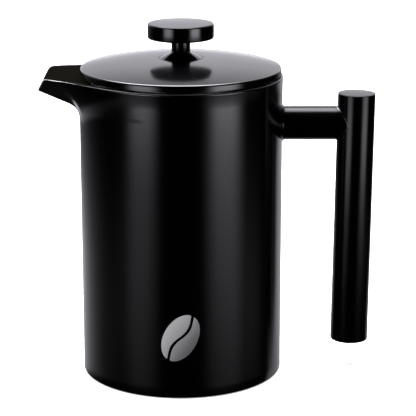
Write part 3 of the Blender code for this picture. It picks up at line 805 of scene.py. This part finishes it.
chain = [outer_top]
for r, z in rounded([(45.0, SK_Z1), (50.35, SK_Z1), (50.5, SK_Z1 + 0.4, 0.15), (50.35, SK_Z1 + 0.8),
                     (20.0, SK_Z1 + 0.8), (9.0, SK_Z1 + 0.8), (5.75, SK_Z1 + 0.8), (5.75, SK_Z1 + 0.1),
                     (9.0, SK_Z1 + 0.1), (20.0, SK_Z1 + 0.1), (36.0, SK_Z1 + 0.1), (42.8, SK_Z1 + 0.05)]):
    chain.append(ring(r, z))
chain.append(inner_top)
for A, B in zip(chain, chain[1:]):
    for i in range(NS):
        j = (i + 1) % NS
        skirt_f.append((A[i], A[j], B[j], B[i]))
make("lid_liner_strainer", skirt_v, skirt_f, M_STEEL, "lid", ("lid_liner",), 35.0)

# seal: two-lipped sleeve
turned("lid_seal_ring", rounded([(45.1, 149.5, 0.3), (46.1, 149.5, 0.3), (46.5, 150.5, 0.35), (46.0, 151.6, 0.4),
                                 (46.0, 153.3, 0.4), (46.5, 154.4, 0.35), (46.1, 155.4, 0.3), (45.1, 155.4, 0.3), (45.1, 152.0)]),
       M_SEAL, "seal_ring", ("lid_seal",), seg=200)

# ------------------------------------------------------------------ plunger
turned("rod", rounded([(0, 8.0), (2.5, 8.0, 0.5), (2.5, 180.4, 0.4), (0, 180.4)]), M_ROD, "plunger",
       ("plunger_rod",), seg=64, closed=False)
turned("knob_neck", rounded([(2.6, HUB_Z1 + 0.25), (STEM_R, HUB_Z1 + 0.25, 0.2), (STEM_R, KNOB_Z0 + 0.1), (2.6, KNOB_Z0 + 0.1)]),
       M_KNOB, "plunger", ("knob_stem",), seg=96)
crown = [(r, KNOB_Z1 + 0.35 - 0.5 * (r / KNOB_R) ** 2) for r in (0.0, 3.0, 6.0, 9.0, 12.0, 14.0, 15.5)]
turned("knob_disc", rounded(crown + [(KNOB_R, KNOB_Z1 - 0.18, 0.85), (KNOB_R, KNOB_Z0 + 0.15, 0.9),
                             (STEM_R + 1.6, KNOB_Z0 + 0.15, 0.5), (STEM_R + 1.0, KNOB_Z0 + 0.65, 0.4), (2.7, KNOB_Z0 + 0.65), (2.7, 181.0),
                             (0, 181.0)], 8),
       M_KNOB, "plunger", ("knob",), seg=192, closed=False)


def pierced(name, rings, nseg, hole, thick, mat, nodes, sharp=35.0):
    """Pressed disc made of cells: rings are (r, z); hole(i, k) tells which are open."""
    v, f, ids = [], [], {}
    nr = len(rings) - 1

    def vv(i, k, side):
        key = (i % nseg, k, side)
        if key not in ids:
            a = TAU * (i % nseg) / nseg
            r, z = rings[k]
            ids[key] = len(v)
            v.append((r * math.cos(a), r * math.sin(a), z - (thick if side else 0.0)))
        return ids[key]

    for i in range(nseg):
        for k in range(nr):
            if hole(i, k):
                continue
            f.append((vv(i, k, 0), vv(i, k + 1, 0), vv(i + 1, k + 1, 0), vv(i + 1, k, 0)))
            f.append((vv(i, k, 1), vv(i + 1, k, 1), vv(i + 1, k + 1, 1), vv(i, k + 1, 1)))
            for di, dk, e in ((-1, 0, ((0, 0), (0, 1))), (1, 0, ((1, 1), (1, 0))),
                              (0, -1, ((1, 0), (0, 0))), (0, 1, ((0, 1), (1, 1)))):
                kk = k + dk
                if kk < 0 or kk >= nr or hole((i + di) % nseg, kk):
                    (a0, b0), (a1, b1) = e
                    f.append((vv(i + a0, k + b0, 0), vv(i + a0, k + b0, 1),
                              vv(i + a1, k + b1, 1), vv(i + a1, k + b1, 0)))
    return make(name, v, f, mat, "plunger", nodes, sharp)


# spiral plate: shallow dome, pierced in rings, with an upturned edge
sp_rings = [(2.6, 11.9), (8.0, 12.15), (11.0, 12.2), (14.5, 12.2), (17.0, 12.15), (21.0, 12.05), (23.5, 11.98),
            (28.0, 11.85), (30.5, 11.75), (35.5, 11.6), (38.0, 11.5), (40.8, 11.35), (42.2, 11.45), (42.9, 11.9),
            (43.1, 12.6), (43.15, 13.9)]


def spiral_hole(i, k):
    if k == 3:
        return i % 12 in (2, 3, 4, 5, 6, 7, 8)
    if k == 5:
        return i % 8 in (1, 2, 3, 4)
    if k == 7:
        return (i + 3) % 6 in (1, 2, 3)
    if k == 9:
        return i % 4 in (1, 2)
    return False


pierced("filter_spiral_plate", sp_rings, 144, spiral_hole, 0.55, M_STEEL, ("spiral_plate",))

# wire-cloth cup
turned("filter_mesh", rounded([(2.6, 9.75), (44.6, 9.75, 1.0), (46.0, 10.9, 0.8), (46.1, 14.4, 0.1), (45.7, 14.4, 0.1), (45.6, 11.2, 0.8),
                               (44.4, 10.1, 1.0), (2.6, 10.1)]), M_CLOTH, "plunger", ("mesh_screen",), seg=200)

# coil spring wound round the plate's edge
TURNS, WIRE, COIL = 96, 0.27, 0.78
ns, sides = TURNS * 14, 6
cv, cf = [], []
for i in range(ns):
    u = TAU * i / ns
    w = u * TURNS
    rr = 44.4 + COIL * math.cos(w) * 0.8
    c = Vector((rr * math.cos(u), rr * math.sin(u), 12.9 + COIL * math.sin(w)))
    u2 = TAU * (i + 0.5) / ns
    w2 = u2 * TURNS
    rr2 = 44.4 + COIL * math.cos(w2) * 0.8
    c2 = Vector((rr2 * math.cos(u2), rr2 * math.sin(u2), 12.9 + COIL * math.sin(w2)))
    tan = (c2 - c).normalized()
    radial = (c - Vector((44.4 * math.cos(u), 44.4 * math.sin(u), 12.9))).normalized()
    e1 = (radial - tan * radial.dot(tan)).normalized()
    e2 = tan.cross(e1)
    for s in range(sides):
        b = TAU * s / sides
        cv.append(c + (e1 * math.cos(b) + e2 * math.sin(b)) * WIRE)
for i in range(ns):
    i2 = (i + 1) % ns
    for s in range(sides):
        s2 = (s + 1) % sides
        cf.append((i * sides + s, i2 * sides + s, i2 * sides + s2, i * sides + s2))
make("filter_coil", cv, cf, M_WIRE, "plunger", ("filter_spring",), 80.0)

# cross plate: outer ring, spokes and hub in one pressing
cp_rings = [(2.6, 9.3), (6.0, 9.3), (9.5, 9.3), (17.0, 9.3), (19.0, 9.3), (28.5, 9.3), (30.5, 9.3), (39.5, 9.3),
            (42.0, 9.3), (43.6, 9.25), (44.1, 9.0)]


def cross_hole(i, k):
    if k in (3, 5, 7) or k in (2, 4, 6):
        spoke = min(i % 36, 36 - (i % 36) - 1)
        lim = {2: 99, 3: 7, 4: 99, 5: 5, 6: 99, 7: 4}[k]
        return spoke >= lim
    return False


pierced("filter_cross_plate", cp_rings, 144, cross_hole, 0.9, M_STEEL, ("cross_plate",))
hexagon("filter_lock_nut", 9.0, 12.6, 15.8, 2.6, M_STEEL, "plunger", ("filter_nut",))

# ------------------------------------------------------------------ emblem: plain coffee bean, printed in silver
def on_shell(u, w, lift):
    """u to the right, w up, measured on the shell's surface from the emblem's centre."""
    r = SHELL_R + lift
    a = u / SHELL_R
    return (r * math.sin(a), -r * math.cos(a), 32.8 + w)


def bean_half(name, side):
    """One half of the bean: from the curved crease to the outline."""
    n, m = 64, 9
    A, B, tilt = 13.2, 8.6, math.radians(-28.0)
    v, f = [], []
    for i in range(n + 1):
        s = -1.0 + 2.0 * i / n
        s = math.sin(s * math.pi / 2) * 0.985
        crease = 1.9 * math.sin(s * math.pi) * (1.0 - 0.25 * abs(s))
        edge = side * B * math.sqrt(max(0.0, 1.0 - s * s))
        inner = crease + side * 0.75
        if side * (edge - inner) < 0.05:
            inner = edge - side * 0.05
        for k in range(m + 1):
            w = inner + (edge - inner) * k / m
            x, y = w, A * s
            u = x * math.cos(tilt) - y * math.sin(tilt)
            q = x * math.sin(tilt) + y * math.cos(tilt)
            v.append(on_shell(u, q, 0.05))
    front = len(v)
    for p in list(v):
        q = Vector((p[0], p[1], 0.0)).normalized() * 0.045
        v.append((p[0] - q.x, p[1] - q.y, p[2]))
    w = m + 1
    for i in range(n):
        for k in range(m):
            a = i * w + k
            f.append((a, a + w, a + w + 1, a + 1))
            f.append((front + a, front + a + 1, front + a + w + 1, front + a + w))
    for i in range(n):
        for k in (0, m):
            a = i * w + k
            f.append((a, front + a, front + a + w, a + w))
    for k in range(m):
        for i in (0, n):
            a = i * w + k
            f.append((a, a + 1, front + a + 1, front + a))
    return make(name, v, f, M_PRINT, "carafe", (), 50.0)


bean_half("emblem_bean_left", -1.0)
bean_half("emblem_bean_right", 1.0)

# ------------------------------------------------------------------ floor, world, light
fm = bpy.data.meshes.new("floor")
fm.from_pydata([(-6, -6, 0), (6, -6, 0), (6, 6, 0), (-6, 6, 0)], [], [(0, 1, 2, 3)])
floor = bpy.data.objects.new("floor", fm)
scene.collection.objects.link(floor)
mat, t, bsdf = new_material("floor_white", (0.93, 0.93, 0.93), 0.9, 0.0)
bsdf.inputs["Specular IOR Level"].default_value = 0.0
bsdf.inputs["Emission Color"].default_value = (1.0, 1.0, 1.0, 1.0)
bsdf.inputs["Emission Strength"].default_value = 0.42
fm.materials.append(mat)
floor.visible_glossy = False
floor.visible_diffuse = False
floor.visible_shadow = False

world = bpy.data.worlds.new("studio")
scene.world = world
world.use_nodes = True
t = Tree(world.node_tree)
bg = world.node_tree.nodes["Background"]
vec = t.node("ShaderNodeTexCoord").outputs["Generated"]
sep = t.node("ShaderNodeSeparateXYZ")
t.link(vec, sep.inputs[0])
X, Y, Z = sep.outputs
az = t.math("ARCTAN2", X, t.math("MULTIPLY", Y, -1.0))     # 0 to the front, + to the right
el = t.math("ARCSINE", Z)
D = math.radians
EL = t.math("MULTIPLY", el, 180.0 / math.pi)


def profile_curve(value, pts):
    """Piecewise curve: pts are (value, result)."""
    x0, x1 = pts[0][0], pts[-1][0]
    top = max(v for _, v in pts)
    n = t.node("ShaderNodeFloatCurve")
    t.link(t.linear(value, x0, x1), n.inputs["Value"])
    c = n.mapping.curves[0]
    c.points[0].location = (0.0, pts[0][1] / top)
    c.points[1].location = (1.0, pts[-1][1] / top)
    for x, v in pts[1:-1]:
        c.points.new((x - x0) / (x1 - x0), v / top)
    for q in c.points:
        q.handle_type = "VECTOR"
    n.mapping.update()
    return t.math("MULTIPLY", n.outputs["Value"], top)


# two tall soft boxes at the front left and right, fading downwards
fade_l = profile_curve(EL, [(-40.0, 0.015), (-24.0, 0.03), (-22.0, 0.04), (-20.7, 0.08), (-19.8, 0.155), (-18.2, 0.34), (-16.6, 0.42),
                            (-14.95, 0.33), (-13.3, 0.06), (-12.3, 0.20), (-11.6, 1.7), (-11.2, 4.4), (-10.5, 4.8), (-9.2, 3.4), (-6.0, 4.5),
                            (-3.0, 6.0), (20.0, 6.0)])
fade_r = profile_curve(EL, [(-40.0, 0.015), (-24.0, 0.03), (-22.0, 0.04), (-20.7, 0.09), (-19.8, 0.20), (-18.2, 0.45), (-16.6, 0.58),
                            (-14.95, 0.86), (-13.3, 0.64), (-12.3, 1.5), (-11.6, 3.4), (-11.2, 4.8), (-10.5, 5.0), (-9.2, 4.6), (-6.0, 5.6),
                            (-3.0, 7.0), (20.0, 7.0)])
high = t.smooth(el, D(-6.5), D(0.5), 1.0, 0.0)
top_w = t.smooth(EL, -12.3, -11.5)                          # their lower parts have softer sides


def two_bands(lo, hi, soft, lo2, hi2, soft2):
    a = t.math("MULTIPLY", t.band(az, D(lo), D(hi), D(soft)), top_w)
    b = t.math("MULTIPLY", t.band(az, D(lo2), D(hi2), D(soft2)), t.math("SUBTRACT", 1.0, top_w))
    return t.math("ADD", a, b)


strips = t.math("ADD", t.math("MULTIPLY", two_bands(36.5, 66.5, 9.0, 33.5, 69.0, 13.0), fade_r),
                t.math("MULTIPLY", two_bands(-57.0, -30.0, 9.0, -61.5, -31.5, 12.0), fade_l))
strips = t.math("MULTIPLY", strips, high)
# faint spill beside them, low down
spill = t.math("ADD", t.math("MULTIPLY", t.band(az, D(58.0), D(100.0), D(14.0)), 0.19),
               t.math("MULTIPLY", t.band(az, D(-84.0), D(-46.0), D(14.0)), 0.11))
spill = t.math("MULTIPLY", spill, profile_curve(EL, [(-40.0, 0.0), (-21.5, 0.03), (-20.5, 0.35), (-19.4, 0.85), (-18.0, 1.0), (-16.5, 0.7), (-15.0, 0.35),
                                                     (-13.0, 0.0), (10.0, 0.0)]))
strips = t.math("ADD", strips, spill)
# white sweep behind, weaker near the floor, with a dark gap just under the horizon
shift = profile_curve(EL, [(-40.0, 0.0), (-18.5, 0.0), (-17.0, 0.11), (-16.0, 0.22), (-15.0, 0.38), (-13.7, 0.55), (-13.2, 0.65),
                           (-12.0, 0.80), (-9.0, 0.80), (-5.0, 0.5), (-1.0, 0.0), (10.0, 0.0)])
left = profile_curve(t.math("SUBTRACT", Y, shift), [(-0.6, 0.0), (-0.2, 0.04), (0.0, 0.13), (0.24, 0.23), (0.49, 0.52), (0.77, 0.99),
                                                    (1.0, 1.25)])
left = t.math("MULTIPLY", left, t.smooth(X, -0.02, 0.02, 1.0, 0.0))
left = t.math("MULTIPLY", left, profile_curve(EL, [(-40.0, 0.02), (-25.0, 0.03), (-23.0, 0.12), (-21.6, 0.44), (-20.4, 0.53),
                                                   (-18.8, 0.64), (-17.0, 0.82), (-15.0, 1.0), (10.0, 1.0)]))
shift = profile_curve(EL, [(-40.0, 0.36), (-20.8, 0.32), (-19.2, 0.14), (-17.8, 0.08), (-13.5, 0.08), (-12.3, 0.0), (10.0, 0.0)])
right = t.math("MULTIPLY", t.smooth(t.math("ADD", Y, shift), 0.76, 0.88), t.smooth(X, -0.02, 0.02, 0.0, 1.0))
right = t.math("MULTIPLY", right, profile_curve(EL, [(-40.0, 0.50), (-22.0, 0.46), (-20.4, 0.50), (-18.8, 0.62), (-17.0, 0.68), (-15.0, 0.62), (-12.7, 0.80),
                                                     (-10.5, 0.25), (-5.0, 0.30), (-1.0, 1.3), (10.0, 1.3)]))
low_back = t.math("MULTIPLY", t.math("ADD", left, right), t.smooth(Z, 0.0, 0.06, 1.0, 0.0))
# sweep above the horizon
upper = profile_curve(Z, [(-0.05, 0.0), (0.0, 0.72), (0.03, 0.86), (0.07, 1.0), (0.12, 1.03), (0.20, 1.0), (0.28, 1.18), (0.50, 1.20), (0.70, 0.9),
                          (1.0, 0.7)])
upper = t.math("MULTIPLY", upper, t.smooth(Y, -0.02, 0.35))
upper = t.math("MULTIPLY", upper, t.smooth(X, 0.42, 0.75, 1.0, 0.12))
upper = t.math("MULTIPLY", upper, t.smooth(X, -0.85, -0.62, 0.25, 1.0))
# soft box overhead, long from front to back
gamma = t.math("MULTIPLY", t.math("ARCTAN2", Z, Y), 180.0 / math.pi)
box = t.math("MULTIPLY", t.band(gamma, 52.0, 86.0, 6.0), t.math("MULTIPLY", t.smooth(X, 0.25, 0.36, 1.0, 0.0), t.smooth(X, -0.62, -0.45)))
box = t.math("MULTIPLY", box, 9.2)
total = t.math("ADD", t.math("ADD", strips, low_back), t.math("ADD", t.math("ADD", upper, box), 0.001))
tint = t.node("ShaderNodeCombineColor")
t.link(t.math("MULTIPLY", total, 0.985), tint.inputs[0])
t.link(t.math("MULTIPLY", total, 0.975), tint.inputs[1])
t.link(t.math("MULTIPLY", total, 1.05), tint.inputs[2])
t.link(tint.outputs[0], bg.inputs["Color"])
bg.inputs["Strength"].default_value = 1.0
white = t.node("ShaderNodeBackground")
white.inputs["Color"].default_value = (1.0, 1.0, 1.0, 1.0)
path = t.node("ShaderNodeLightPath")
mixer = t.node("ShaderNodeMixShader")
t.link(path.outputs["Is Camera Ray"], mixer.inputs[0])
t.link(bg.outputs[0], mixer.inputs[1])
t.link(white.outputs[0], mixer.inputs[2])
out = [n for n in world.node_tree.nodes if n.type == "OUTPUT_WORLD"][0]
t.link(mixer.outputs[0], out.inputs["Surface"])

lamp = bpy.data.lights.new("ceiling", "AREA")
lamp.shape = "DISK"
lamp.size = 2.4
lamp.energy = 150.0
lamp_obj = bpy.data.objects.new("ceiling", lamp)
scene.collection.objects.link(lamp_obj)
lamp_obj.location = (0.0, -0.4, 2.2)
lamp_obj.rotation_euler = (math.radians(-10), 0, 0)
lamp_obj.visible_glossy = False
lamp_obj.visible_camera = False
